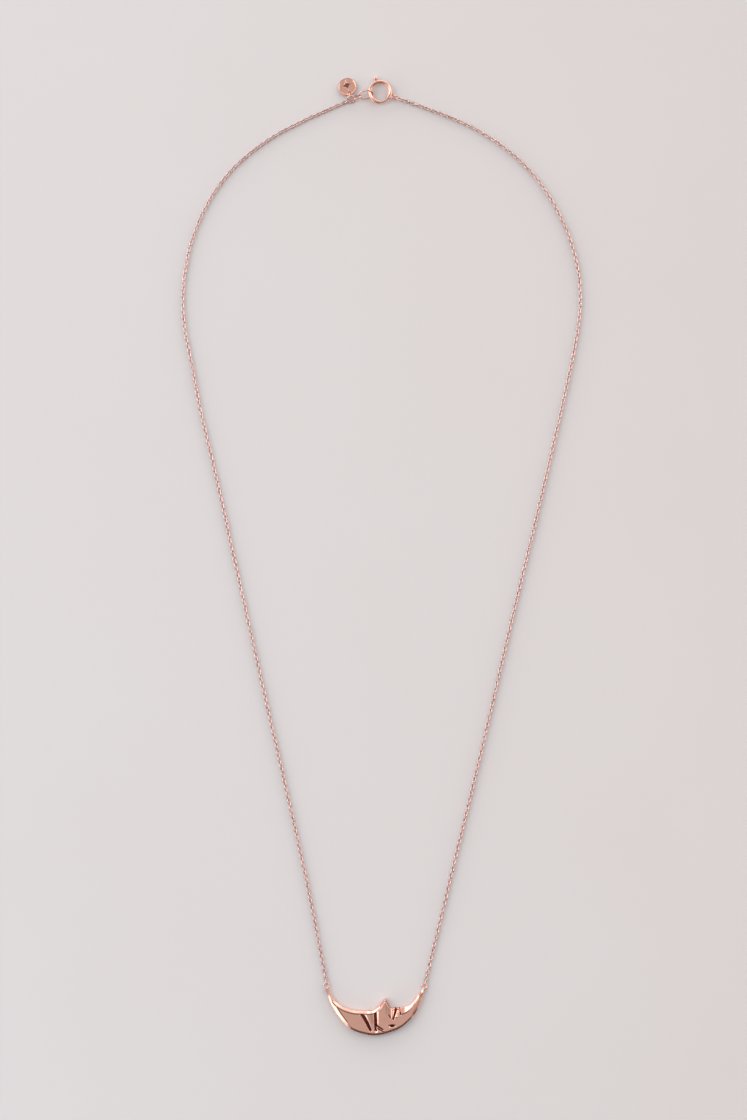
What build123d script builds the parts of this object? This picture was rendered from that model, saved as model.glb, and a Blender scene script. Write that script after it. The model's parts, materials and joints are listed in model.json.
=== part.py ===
"""Crescent moon pendant on a fine cable chain, laid out flat with its spring ring clasp closed.

The frame is +X to the right, +Y from the pendant towards the clasp and +Z up. The origin is on the
flat back of the pendant, and the whole necklace rests on the plane z = 0. All sizes are millimetres.
"""
import os
from math import atan2, cos, degrees, pi, radians, sin, sqrt, tan

from build123d import *

# --- Pendant: a solid crescent, horns up, with a face looking out of its hollow side ---
HORN_X = 10.15
PENDANT_THICKNESS = 1.95
HORN_THICKNESS = 0.80
DOME_SPARE = 1.5
INNER_LEFT = [(-10.18, 7.36), (-8.60, 4.55), (-6.45, 3.15), (-4.20, 2.62), (-1.30, 2.58), (0.15, 2.95)]
NOSE_TIP = (2.20, 5.10)
UPPER_LIP = (3.55, 3.10)
INNER_RIGHT = [(3.55, 3.10), (5.40, 3.15), (7.40, 3.70), (8.60, 4.85), (9.50, 6.10), (10.28, 7.20)]
OUTER = [(-10.55, 7.36), (-9.85, 4.70), (-8.60, 2.65), (-7.05, 0.70), (-5.30, -1.00), (-3.10, -2.15),
         (-0.55, -2.60), (2.05, -2.25), (4.30, -1.45), (6.10, -0.55), (7.95, 1.20), (9.00, 2.75),
         (9.95, 4.60), (10.62, 7.20)]
SOCKET_DEPTH = 0.55
# Cuts of the face: two ends on the front and a width, for the brow, the eye's fold, the cheek and the lips
FACE_CUTS = [((-4.05, 2.10), (-1.25, -1.60), 0.62), ((-0.10, 2.10), (0.05, -1.60), 0.50),
             ((0.55, -1.15), (1.75, -1.75), 0.26), ((3.70, 2.30), (3.95, 0.70), 0.30)]
CHEEK_DIMPLE = (3.50, -0.35)
DIMPLE_SIZE = (1.00, 0.42)

# --- Horn rings: closed rings soldered to the two horn tips ---
HORN_RING_DIAMETER = 1.38
HORN_RING_WIRE = 0.28
HORN_RING_HEIGHT = 0.47
LEFT_HORN_RING = (-10.43, 7.93)
RIGHT_HORN_RING = (10.58, 7.78)

# --- Cable chain: drawn here as a plain tube, one for each strand, with one real link at every end ---
CHAIN_DIAMETER = 0.80
CHAIN_HEIGHT = CHAIN_DIAMETER / 2
LINK_LENGTH = 1.26
LINK_WIDTH = 0.92
LINK_WIRE = 0.25
LINK_REACH = LINK_LENGTH - LINK_WIRE
LOWER_LINK_ROLL = 90
SPARE = 0.02
SHORTEST_STRAIGHT = 0.01
LEFT_ROUTE = [(-6.66, 197.59), (-15.60, 193.75), (-24.90, 188.65), (-32.75, 181.45), (-38.10, 172.35),
              (-40.95, 162.40), (-41.50, 151.60), (-39.35, 141.20), (-37.60, 131.60), (-34.10, 117.20),
              (-29.60, 96.60), (-24.95, 75.80), (-18.85, 49.10), (-13.75, 26.30), (-10.61, 9.33)]
RIGHT_ROUTE = [(5.95, 198.18), (15.90, 194.80), (25.10, 190.15), (33.25, 183.50), (39.15, 175.10),
               (43.10, 165.40), (44.45, 154.90), (42.85, 144.20), (40.25, 132.60), (35.15, 110.40),
               (28.95, 84.90), (23.05, 59.10), (17.10, 34.60), (10.88, 9.16)]

# --- Spring ring clasp: a hollow ring with a gap, closed by a sprung bolt that slides inside it ---
CLASP_CENTRE = (1.08, 199.82, 0.84)
CLASP_RADIUS = 2.19
CLASP_TUBE = 0.78
CLASP_BORE = 0.50
TUBE_START = -12
TUBE_END = 270
BOLT_DIAMETER = 0.42
BOLT_REAR = 101
BOLT_TIP = 316
KNOB_ANGLE = 108
KNOB_DIAMETER = 0.92
KNOB_STEM = 0.24
KNOB_GAP = 0.05
KNOB_SEAT_ARC = 8
BOLT_TRAVEL = 48
SLOT_WIDTH = 0.32
SPRING_COILS = 14
SPRING_WIRE = 0.07
SPRING_CLEARANCE = 0.03
SPRING_TO_BOLT = 2
SPRING_TO_TUBE_END = 6
POINTS_PER_COIL = 6
TAIL_START = 320
TAIL_END = 357
TAIL_DIAMETER = 0.98
SOCKET_ARC = 6
SOCKET_CLEARANCE = 0.03
EYE_ANGLE = -19
EYE_REACH = 2.97
EYE_DIAMETER = 1.06
EYE_WIRE = 0.26

# --- Connecting rings: each is set by the two places where it pulls on its neighbours ---
END_RING = {"start": (-3.311, 199.047, 0.82), "width": 2.18, "wire": 0.26, "roll": 46}
MIDDLE_RING = {"start": (-4.687, 198.424, 0.79), "width": 1.82, "wire": 0.26, "roll": -56}
CHAIN_RING = {"start": (-5.934, 197.950, 0.62), "width": 1.80, "wire": 0.30, "roll": 36}
TAIL_RING = {"length": 1.22, "drop": 0.22, "width": 1.36, "wire": 0.24, "roll": 62}
CLASP_SIDE = 192
CLASP_SPARE = 0.11
EYE_SPARE = 0.05
LEFT_LINK_ROLL = 55
RIGHT_LINK_ROLL = -28

# --- Maker's tag: a small round disc hung on the chain ring by its own ring ---
TAG_DIAMETER = 3.94
TAG_THICKNESS = 0.32
TAG_CENTRE = (-5.95, 200.98)
TAG_HOLE_OFFSET = 1.50
TAG_HOLE = 0.52
TAG_TURN = -70
TAG_TILT = 8
TAG_RING_WIRE = 0.18
TAG_RING_REACH = (0.02, -1.34, 0.50)
TAG_RING_ROLL = 90


def unit(vector):
    """The same direction at length 1."""
    return Vector(*vector).normalized()


def on_clasp(angle, radius=CLASP_RADIUS):
    """A point of the clasp's plane, by its angle and radius about the clasp's centre."""
    turn = Vector(cos(radians(angle)), sin(radians(angle)), 0)
    return Vector(*CLASP_CENTRE) + turn * radius


def rolled_plane(start, end, roll):
    """The plane of a ring that runs from start to end, rolled about that line from level."""
    line = unit(end - start)
    level = Vector(0, 0, 1).cross(line).normalized()
    side = level * cos(radians(roll)) + line.cross(level) * sin(radians(roll))
    return Plane(origin=(start + end) / 2, x_dir=line, z_dir=line.cross(side))


def wire_ring(start, end, width, wire, roll):
    """A closed ring of round wire, as long as the two wire centres ask and as wide as given."""
    half_length = (end - start).length / 2
    half_width = (width - wire) / 2
    straight = half_length - half_width
    place = rolled_plane(start, end, roll)
    if straight < SHORTEST_STRAIGHT:
        return place * Torus(half_length, wire / 2)
    section = Plane(origin=(straight, -half_width, 0), z_dir=(1, 0, 0)) * Circle(wire / 2)
    bend = revolve(section, Axis((straight, 0, 0), (0, 0, 1)), 180)
    half = bend + extrude(section, amount=-2 * straight)
    return place * (half + Rot(0, 0, 180) * half)


def face_cut(start, end, width):
    """A pointed slot that sinks into the front of the pendant between two points."""
    length = sqrt((end[0] - start[0]) ** 2 + (end[1] - start[1]) ** 2)
    turn = degrees(atan2(end[1] - start[1], end[0] - start[0]))
    outline = Polyline((0, width / 2), (0, -width / 2), (length, 0), close=True)
    slot = extrude(make_face(outline), amount=PENDANT_THICKNESS)
    place = Pos(start[0], start[1], PENDANT_THICKNESS - SOCKET_DEPTH) * Rot(0, 0, turn)
    return place * slot


def moon_pendant():
    """The crescent: its outline stood up, then brought down to thin horns by a shallow dome."""
    outline = [
        Spline(*INNER_LEFT),
        Line(INNER_LEFT[-1], NOSE_TIP),
        Line(NOSE_TIP, UPPER_LIP),
        Spline(*INNER_RIGHT),
        Line(INNER_RIGHT[-1], OUTER[-1]),
        Spline(*reversed(OUTER)),
        Line(OUTER[0], INNER_LEFT[0]),
    ]
    crescent = extrude(make_face(outline), amount=PENDANT_THICKNESS)
    reach = HORN_X + DOME_SPARE
    dome_lines = [
        Line((-reach, 0), (reach, 0)),
        Line((reach, 0), (reach, HORN_THICKNESS)),
        ThreePointArc((reach, HORN_THICKNESS), (0, PENDANT_THICKNESS), (-reach, HORN_THICKNESS)),
        Line((-reach, HORN_THICKNESS), (-reach, 0)),
    ]
    dome = extrude(Plane.XZ * make_face(dome_lines), amount=HORN_X, both=True)
    pendant = crescent & dome
    for start, end, width in FACE_CUTS:
        pendant -= face_cut(start, end, width)
    dimple = extrude(Ellipse(DIMPLE_SIZE[0] / 2, DIMPLE_SIZE[1] / 2), amount=PENDANT_THICKNESS)
    return pendant - Pos(*CHEEK_DIMPLE, PENDANT_THICKNESS - SOCKET_DEPTH) * dimple


def horn_ring(centre):
    """One of the two closed rings at the horn tips, lying level with the pendant."""
    ring = Torus((HORN_RING_DIAMETER - HORN_RING_WIRE) / 2, HORN_RING_WIRE / 2)
    return Pos(*centre, HORN_RING_HEIGHT) * ring


def end_link(ring_centre_line, ring_wire, strand_end, roll):
    """The real link at the end of a strand, pulled from a ring's wire straight towards the strand."""
    pull = unit(strand_end - ring_centre_line)
    start = ring_centre_line - pull * ((ring_wire + LINK_WIRE) / 2 + SPARE)
    end = start + pull * LINK_REACH
    print("end link reaches", end + pull * LINK_WIRE / 2, "strand starts", strand_end)
    return wire_ring(start, end, LINK_WIDTH, LINK_WIRE, roll)


def lower_link(route_end, ring_centre):
    """The last link of a strand, on edge through its horn ring."""
    ring = Vector(*ring_centre, HORN_RING_HEIGHT)
    strand_end = Vector(*route_end, HORN_RING_HEIGHT)
    top = ring + unit(strand_end - ring) * (HORN_RING_DIAMETER - HORN_RING_WIRE) / 2
    return end_link(top, HORN_RING_WIRE, strand_end, LOWER_LINK_ROLL)


def upper_link(route_start, ring_centre_line, ring_wire, roll):
    """The first link of a strand, in the ring beside the clasp."""
    return end_link(ring_centre_line, ring_wire, Vector(*route_start, CHAIN_HEIGHT), roll)


def strand(name, route):
    """A strand's plain tube: straight runs joined by tangent arcs as large as the runs allow."""
    points = [Vector(x, y, CHAIN_HEIGHT) for x, y in route]
    runs = [b - a for a, b in zip(points, points[1:])]
    radii = []
    for before, after in zip(runs, runs[1:]):
        half_turn = radians(before.get_angle(after)) / 2
        radii.append(0.45 * min(before.length, after.length) / tan(half_turn))
    path = FilletPolyline(*points, radius=radii)
    section = Plane(origin=points[0], z_dir=runs[0]) * Circle(CHAIN_DIAMETER / 2)
    tube = sweep(section, path=path)
    expected = path.length * pi * CHAIN_DIAMETER ** 2 / 4
    print(name, "length", round(path.length, 2), "runs", [round(run.length, 1) for run in runs])
    print(name, "radii", [round(radius, 1) for radius in radii])
    print(name, "volume", round(tube.volume, 3), "of", round(expected, 3))
    return tube


def clasp_sector(diameter, start, end):
    """A round bar bent along the clasp's ring, from one angle to another."""
    section = Plane(origin=(CLASP_RADIUS, 0, 0), z_dir=(0, 1, 0)) * Circle(diameter / 2)
    bar = revolve(section, Axis.Z, end - start)
    return Pos(*CLASP_CENTRE) * Rot(0, 0, start) * bar


def knob_slot():
    """The slot along the outside of the clasp that the knob's stem runs in."""
    depth = CLASP_RADIUS + CLASP_TUBE
    margin = degrees(SLOT_WIDTH / 2 / CLASP_RADIUS)
    start = KNOB_ANGLE - BOLT_TRAVEL - margin
    section = Plane.XZ * Pos(depth - CLASP_TUBE / 2, 0) * Rectangle(CLASP_TUBE, SLOT_WIDTH)
    slot = revolve(section, Axis.Z, BOLT_TRAVEL + 2 * margin)
    return Pos(*CLASP_CENTRE) * Rot(0, 0, start) * slot


def clasp_tube():
    """The hollow ring of the clasp, with its gap and the knob's slot."""
    bore = clasp_sector(CLASP_BORE, TUBE_START, TUBE_END)
    return clasp_sector(CLASP_TUBE, TUBE_START, TUBE_END) - bore - knob_slot()


def clasp_bolt():
    """The curved bolt that closes the gap, rounded at its tip."""
    tip = Pos(*on_clasp(BOLT_TIP)) * Sphere(BOLT_DIAMETER / 2)
    return clasp_sector(BOLT_DIAMETER, BOLT_REAR, BOLT_TIP) + tip


def bolt_knob():
    """The little ball on a stem that the thumbnail pulls."""
    foot = on_clasp(KNOB_ANGLE, CLASP_RADIUS + BOLT_DIAMETER / 4)
    ball_centre = on_clasp(KNOB_ANGLE, CLASP_RADIUS + CLASP_TUBE / 2 + KNOB_DIAMETER / 2 + KNOB_GAP)
    outward = ball_centre - foot
    stem = extrude(Plane(origin=foot, z_dir=outward) * Circle(KNOB_STEM / 2), amount=outward.length)
    ball = Pos(*ball_centre) * Sphere(KNOB_DIAMETER / 2)
    seat = clasp_sector(BOLT_DIAMETER, KNOB_ANGLE - KNOB_SEAT_ARC, KNOB_ANGLE + KNOB_SEAT_ARC)
    return (stem + ball) - seat


def clasp_spring():
    """The fine coil between the bolt's rear end and the closed end of the tube."""
    start = BOLT_REAR - SPRING_TO_BOLT
    end = TUBE_START + SPRING_TO_TUBE_END
    coil_radius = (CLASP_BORE - SPRING_WIRE) / 2 - SPRING_CLEARANCE
    steps = SPRING_COILS * POINTS_PER_COIL
    points = []
    for step in range(steps + 1):
        share = step / steps
        phase = 2 * pi * SPRING_COILS * share
        ring_point = on_clasp(start + (end - start) * share, CLASP_RADIUS + coil_radius * cos(phase))
        points.append(ring_point + Vector(0, 0, coil_radius * sin(phase)))
    path = Spline(*points)
    section = Plane(origin=path @ 0, z_dir=path % 0) * Circle(SPRING_WIRE / 2)
    return sweep(section, path=path)


def clasp_tail():
    """The tail: a collar over the tube's closed end, a plug that takes the bolt's tip, and the eye."""
    collar = clasp_sector(TAIL_DIAMETER, TAIL_START, TAIL_END)
    tube_seat = clasp_sector(CLASP_TUBE, TUBE_START, TUBE_START + TAIL_END - TAIL_START)
    socket_diameter = BOLT_DIAMETER + 2 * SOCKET_CLEARANCE
    socket = clasp_sector(socket_diameter, TAIL_START - SOCKET_ARC, TAIL_START + SOCKET_ARC)
    eye = Torus((EYE_DIAMETER - EYE_WIRE) / 2, EYE_WIRE / 2)
    return collar - tube_seat - socket + Pos(*on_clasp(EYE_ANGLE, EYE_REACH)) * eye


def tag_frame():
    """The middle of the tag, tipped so that its hole is raised over the rings beside it."""
    toward_hole = Vector(cos(radians(TAG_TURN)), sin(radians(TAG_TURN)), 0) * cos(radians(TAG_TILT))
    toward_hole += Vector(0, 0, sin(radians(TAG_TILT)))
    lift = TAG_DIAMETER / 2 * sin(radians(TAG_TILT)) + TAG_THICKNESS / 2 * cos(radians(TAG_TILT))
    across = Vector(0, 0, 1).cross(toward_hole)
    return Plane(origin=(*TAG_CENTRE, lift), x_dir=toward_hole, z_dir=toward_hole.cross(across))


def tag_disc():
    """The round tag with its hole."""
    hole = Pos(TAG_HOLE_OFFSET, 0, 0) * Cylinder(TAG_HOLE / 2, 2 * TAG_THICKNESS)
    return tag_frame() * (Cylinder(TAG_DIAMETER / 2, TAG_THICKNESS) - hole)


def ring_ends():
    """Where each connecting ring's wire centres lie, from the clasp out to the two strands."""
    clasp_wire = on_clasp(CLASP_SIDE)
    inward = unit(Vector(*CLASP_CENTRE) - clasp_wire)
    ends = {}
    end_start = Vector(*END_RING["start"])
    ends["end_ring"] = end_start, clasp_wire + inward * ((CLASP_TUBE + END_RING["wire"]) / 2 + CLASP_SPARE)
    middle_start = Vector(*MIDDLE_RING["start"])
    ends["middle_ring"] = middle_start, inside(*ends["end_ring"], END_RING["wire"], MIDDLE_RING["wire"])
    chain_start = Vector(*CHAIN_RING["start"])
    ends["chain_ring"] = chain_start, inside(*ends["middle_ring"], MIDDLE_RING["wire"], CHAIN_RING["wire"])
    outward = unit(on_clasp(EYE_ANGLE) - Vector(*CLASP_CENTRE))
    eye_wire = on_clasp(EYE_ANGLE, EYE_REACH + (EYE_DIAMETER - EYE_WIRE) / 2)
    tail_start = eye_wire - outward * ((EYE_WIRE + TAIL_RING["wire"]) / 2 + EYE_SPARE)
    tail_end = tail_start + outward * TAIL_RING["length"] - Vector(0, 0, TAIL_RING["drop"])
    ends["tail_ring"] = tail_start, tail_end
    return ends


def inside(start, end, wire, next_wire):
    """The wire centre of the next ring where it hangs inside the start of a ring."""
    return start + unit(end - start) * ((wire + next_wire) / 2 + SPARE)


def connecting_ring(ends, sizes):
    """A connecting ring between its two wire centres."""
    return wire_ring(*ends, sizes["width"], sizes["wire"], sizes["roll"])


def tag_ring():
    """The small ring through the tag's hole and round the raised side of the chain ring."""
    start = tag_frame().from_local_coords(Vector(TAG_HOLE_OFFSET, 0, 0))
    end = start + Vector(*TAG_RING_REACH)
    return wire_ring(start, end, (end - start).length + TAG_RING_WIRE, TAG_RING_WIRE, TAG_RING_ROLL)


def build():
    """Every part of the necklace by its node name."""
    ends = ring_ends()
    chain_wire = ends["chain_ring"][0]
    tail_wire = ends["tail_ring"][1]
    return {
        "moon_pendant": moon_pendant(),
        "left_horn_ring": horn_ring(LEFT_HORN_RING),
        "right_horn_ring": horn_ring(RIGHT_HORN_RING),
        "left_lower_link": lower_link(LEFT_ROUTE[-1], LEFT_HORN_RING),
        "right_lower_link": lower_link(RIGHT_ROUTE[-1], RIGHT_HORN_RING),
        "chain_left": strand("chain_left", LEFT_ROUTE),
        "chain_right": strand("chain_right", RIGHT_ROUTE),
        "left_upper_link": upper_link(LEFT_ROUTE[0], chain_wire, CHAIN_RING["wire"], LEFT_LINK_ROLL),
        "right_upper_link": upper_link(RIGHT_ROUTE[0], tail_wire, TAIL_RING["wire"], RIGHT_LINK_ROLL),
        "chain_ring": connecting_ring(ends["chain_ring"], CHAIN_RING),
        "middle_ring": connecting_ring(ends["middle_ring"], MIDDLE_RING),
        "end_ring": connecting_ring(ends["end_ring"], END_RING),
        "tail_ring": connecting_ring(ends["tail_ring"], TAIL_RING),
        "clasp_tube": clasp_tube(),
        "clasp_tail": clasp_tail(),
        "clasp_bolt": clasp_bolt(),
        "bolt_knob": bolt_knob(),
        "clasp_spring": clasp_spring(),
        "tag_ring": tag_ring(),
        "tag_disc": tag_disc(),
    }


os.makedirs("parts", exist_ok=True)
for name, shape in build().items():
    export_step(shape, f"parts/{name}.step")
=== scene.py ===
"""Crescent moon necklace: the looks of the chain, pendant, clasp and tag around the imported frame.

Every length is in metres in the frame's own axes: +X to the right, +Y from the pendant towards the
clasp and +Z up out of the surface that the necklace lies on.
"""
import json
import random
from math import atan2, cos, exp, hypot, pi, radians, sin, sqrt, tau

import bmesh
import bpy
from bpy.props import FloatProperty, FloatVectorProperty, IntProperty, PointerProperty
from mathutils import Matrix, Vector, noise


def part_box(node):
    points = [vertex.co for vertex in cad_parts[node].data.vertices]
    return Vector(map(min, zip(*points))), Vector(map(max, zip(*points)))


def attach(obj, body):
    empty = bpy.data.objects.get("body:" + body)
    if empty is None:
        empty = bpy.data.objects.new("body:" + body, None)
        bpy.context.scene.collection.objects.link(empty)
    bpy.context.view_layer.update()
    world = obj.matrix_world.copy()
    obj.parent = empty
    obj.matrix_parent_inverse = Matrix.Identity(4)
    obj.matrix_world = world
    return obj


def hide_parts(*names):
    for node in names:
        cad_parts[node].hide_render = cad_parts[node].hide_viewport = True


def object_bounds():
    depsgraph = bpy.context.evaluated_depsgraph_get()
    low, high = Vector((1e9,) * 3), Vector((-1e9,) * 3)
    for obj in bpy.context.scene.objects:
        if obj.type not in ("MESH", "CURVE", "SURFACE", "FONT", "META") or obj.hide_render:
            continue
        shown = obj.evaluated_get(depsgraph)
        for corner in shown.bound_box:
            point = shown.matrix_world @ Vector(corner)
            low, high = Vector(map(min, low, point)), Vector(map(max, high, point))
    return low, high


bl_info = {
    "name": "Crescent Moon Necklace",
    "version": (1, 0, 0),
    "blender": (4, 5, 0),
    "location": "3D View > Sidebar > Necklace",
    "description": "Dresses the packed necklace frame with links, a carved moon, a clasp and a tag",
    "category": "Object",
}

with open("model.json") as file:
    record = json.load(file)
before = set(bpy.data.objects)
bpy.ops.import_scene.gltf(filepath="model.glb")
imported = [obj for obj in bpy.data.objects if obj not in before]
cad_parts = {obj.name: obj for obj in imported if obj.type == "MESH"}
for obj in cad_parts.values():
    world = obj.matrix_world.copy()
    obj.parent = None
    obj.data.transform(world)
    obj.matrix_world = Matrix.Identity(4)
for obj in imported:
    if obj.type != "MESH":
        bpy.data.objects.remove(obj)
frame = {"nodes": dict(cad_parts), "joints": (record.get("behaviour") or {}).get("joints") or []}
CAD_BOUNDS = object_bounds()
MM = 0.001

# --- The chain's routes: the points that the two strands' tubes follow, in millimetres ---
LEFT_ROUTE = [(-6.66, 197.59), (-15.60, 193.75), (-24.90, 188.65), (-32.75, 181.45), (-38.10, 172.35),
              (-40.95, 162.40), (-41.50, 151.60), (-39.35, 141.20), (-37.60, 131.60), (-34.10, 117.20),
              (-29.60, 96.60), (-24.95, 75.80), (-18.85, 49.10), (-13.75, 26.30), (-10.61, 9.33)]
RIGHT_ROUTE = [(5.95, 198.18), (15.90, 194.80), (25.10, 190.15), (33.25, 183.50), (39.15, 175.10),
               (43.10, 165.40), (44.45, 154.90), (42.85, 144.20), (40.25, 132.60), (35.15, 110.40),
               (28.95, 84.90), (23.05, 59.10), (17.10, 34.60), (10.88, 9.16)]


def joint(name):
    """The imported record's entry for one joint."""
    return next(entry for entry in frame["joints"] if entry["name"] == name)


def joint_line(name):
    """A hinge's point and its unit axis."""
    entry = joint(name)
    return Vector(entry["pos_m"]), Vector(entry["axis"]).normalized()


# ------------------------------------------------------------------ shader maths
class Wire:
    """A shader socket that Python arithmetic turns into Math nodes."""

    def __init__(self, tree, socket):
        self.tree = tree
        self.socket = socket

    def math(self, operation, *values):
        """A Math node on this value and the others."""
        node = self.tree.nodes.new("ShaderNodeMath")
        node.operation = operation
        for socket, value in zip(node.inputs, (self, *values)):
            feed(self.tree, socket, value)
        return Wire(self.tree, node.outputs[0])

    def __add__(self, other):
        return self.math("ADD", other)

    __radd__ = __add__

    def __mul__(self, other):
        return self.math("MULTIPLY", other)

    __rmul__ = __mul__

    def __sub__(self, other):
        return self.math("SUBTRACT", other)


def feed(tree, socket, value):
    """Link a wire to a socket, or set the socket's own value."""
    if isinstance(value, Wire):
        tree.links.new(value.socket, socket)
    else:
        socket.default_value = value


def ramp(tree, factor, stops):
    """A smooth colour ramp through the given stops."""
    node = tree.nodes.new("ShaderNodeValToRGB")
    elements = node.color_ramp.elements
    elements[0].position, elements[0].color = stops[0]
    elements[1].position, elements[1].color = stops[-1]
    for position, colour in stops[1:-1]:
        elements.new(position).color = colour
    feed(tree, node.inputs[0], factor)
    return Wire(tree, node.outputs[0])


class Finish:
    """One material under construction, with a single way to add any node."""

    def __init__(self, name):
        self.material = bpy.data.materials.new(name)
        self.material.use_nodes = True
        self.tree = self.material.node_tree
        self.surface = self.tree.nodes["Principled BSDF"]

    def node(self, kind, settings=None, inputs=None, output=0):
        """Add a node: its settings first, then the values or links of its sockets."""
        added = self.tree.nodes.new(kind)
        for key, value in (settings or {}).items():
            setattr(added, key, value)
        for key, value in (inputs or {}).items():
            feed(self.tree, added.inputs[key], value)
        return Wire(self.tree, added.outputs[output])

    def stops(self, factor, stops):
        """A colour ramp with the given stops."""
        return ramp(self.tree, factor, stops)

    def mix_colour(self, factor, first, second):
        """A blend of two colours."""
        return self.node("ShaderNodeMix", {"data_type": "RGBA"}, {0: factor, 6: first, 7: second}, 2)

    def set(self, **sockets):
        """Set or link sockets of the surface shader by name, with _ for a space."""
        for key, value in sockets.items():
            feed(self.tree, self.surface.inputs[key.replace("_", " ")], value)


def rose_gold(name, settings, warm, cool, polish, grain, painted_shade=False):
    """Polished rose gold: warm and cool drifts, fine polishing lines, and hollows that are rougher and
    darkened with painted shade.
    """
    finish = Finish(name + "_finish")
    place = finish.node("ShaderNodeTexCoord", output=3)
    drift = finish.node("ShaderNodeTexNoise", inputs={"Vector": place, "Scale": 0.35 / MM, "Detail": 3.0})
    cloud = finish.node("ShaderNodeTexNoise", inputs={"Vector": place, "Scale": 2.2 / MM, "Detail": 4.0})
    turned = finish.node("ShaderNodeMapping", inputs={
        "Vector": place, "Rotation": (0.0, 0.0, 0.5), "Scale": (1.0, 9.0, 1.0)})
    lines = finish.node("ShaderNodeTexNoise", inputs={"Vector": turned, "Scale": 2.6 / MM, "Detail": 2.0})
    colour = finish.mix_colour(drift, (*warm, 1.0), (*cool, 1.0))
    roughness = polish + 0.10 * cloud * cloud + 0.05 * lines
    height = 0.6 * lines + 0.4 * cloud
    if painted_shade:
        # The painted shade mask: it mixes in the dark painted shade colour and raises the roughness.
        hollow = finish.node("ShaderNodeAttribute", {"attribute_name": "painted_shade"}, output=2)
        colour = finish.mix_colour(hollow, colour, (*settings.painted_shade_gold, 1.0))
        roughness = roughness + 0.16 * hollow
    bump = finish.node("ShaderNodeBump", inputs={"Strength": 1.0, "Distance": grain, "Height": height})
    finish.set(Base_Color=colour, Metallic=1.0, Roughness=roughness, Normal=bump)
    return finish.material


def spring_steel():
    """Drawn steel wire with lengthwise lines."""
    finish = Finish("spring_steel_finish")
    place = finish.node("ShaderNodeTexCoord", output=3)
    lines = finish.node("ShaderNodeTexNoise", inputs={"Vector": place, "Scale": 9.0 / MM, "Detail": 4.0})
    colour = finish.stops(lines, [(0.3, (0.36, 0.36, 0.37, 1.0)), (0.7, (0.58, 0.58, 0.60, 1.0))])
    finish.set(Base_Color=colour, Metallic=1.0, Roughness=0.2 + 0.2 * lines)
    return finish.material


def pale_floor(settings):
    """A plain matt surface with a painted falloff of the light: paler at the near left and darker and
    pinker at the near right; faintly mottled.
    """
    finish = Finish("pale_floor")
    place = finish.node("ShaderNodeTexCoord", output=3)
    split = finish.node("ShaderNodeSeparateXYZ", inputs={"Vector": place})
    x, y = (Wire(finish.tree, split.socket.node.outputs[axis]) for axis in (0, 1))
    mottle = finish.node("ShaderNodeTexNoise", inputs={"Vector": place, "Scale": 0.02 / MM, "Detail": 5.0})
    grain = finish.node("ShaderNodeTexNoise", inputs={"Vector": place, "Scale": 0.9 / MM, "Detail": 3.0})
    # The ramp paints a falloff of the light as well as a change of tone: lighter to the left, darker to the
    # right and far side.
    slope = x * 3.1 + y * 0.9 + 0.28 + 0.35 * mottle
    colour = finish.stops(slope, [(0.0, (*settings.floor_lit_cool, 1.0)), (1.0, (*settings.floor_shaded_warm, 1.0))])
    bump = finish.node("ShaderNodeBump", inputs={"Strength": 0.35, "Distance": 0.03 * MM, "Height": grain})
    finish.set(Base_Color=colour, Roughness=0.85, Normal=bump)
    return finish.material


# ------------------------------------------------------------------ mesh helpers
def finished(name, bm, material, smooth=True):
    """Turn a bmesh into a linked object at the origin, with faces outward."""
    bmesh.ops.remove_doubles(bm, verts=bm.verts, dist=1e-7)
    bmesh.ops.recalc_face_normals(bm, faces=bm.faces)
    for face in bm.faces:
        face.smooth = smooth
    mesh = bpy.data.meshes.new(name)
    bm.to_mesh(mesh)
    bm.free()
    mesh.materials.append(material)
    piece = bpy.data.objects.new(name, mesh)
    bpy.context.scene.collection.objects.link(piece)
    return piece


def dress(piece, body, slot, *nodes):
    """Make a piece ride on a body in place of its CAD nodes; the slot is not used."""
    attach(piece, body)
    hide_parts(*nodes)
    return piece


def placed_along(start, line, roll):
    """The place of a ring that lies along a line and is rolled about it from level."""
    level = Vector((0, 0, 1)).cross(line).normalized()
    side = level * cos(roll) + line.cross(level) * sin(roll)
    across = line.cross(side)
    turn = Matrix((line, side, across)).transposed().to_4x4()
    return Matrix.Translation(start) @ turn


def add_ring(bm, half_length, half_width, wire, around, sides):
    """A closed oval ring of round wire about the origin, long in X."""
    made = bmesh.ops.create_circle(bm, cap_ends=False, radius=wire / 2, segments=sides)["verts"]
    stand = Matrix.Translation((half_width, 0, 0)) @ Matrix.Rotation(pi / 2, 4, "X")
    bmesh.ops.transform(bm, matrix=stand, verts=made)
    edges = list({edge for vert in made for edge in vert.link_edges})
    bmesh.ops.spin(bm, geom=made + edges, cent=(0, 0, 0), axis=(0, 0, 1), angle=tau, steps=around,
                   use_merge=True)
    ring = [vert for vert in bm.verts if not vert.tag]
    bmesh.ops.rotate(bm, verts=ring, cent=(0, 0, 0), matrix=Matrix.Rotation(pi / around, 3, "Z"))
    straight = half_length - half_width
    for vert in ring:
        vert.co.x += straight if vert.co.x > 0 else -straight
        vert.tag = True
    return ring


def wire_ring(name, start, line, length, width, wire, roll, material, around=64, sides=20):
    """A ring of round wire from one wire centre along a line to the other."""
    bm = bmesh.new()
    half_width = min(width - wire, length) / 2
    add_ring(bm, length / 2, half_width, wire, around, sides)
    middle = start + line * (length / 2)
    bm.transform(placed_along(middle, line, radians(roll)))
    return finished(name, bm, material)


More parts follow.
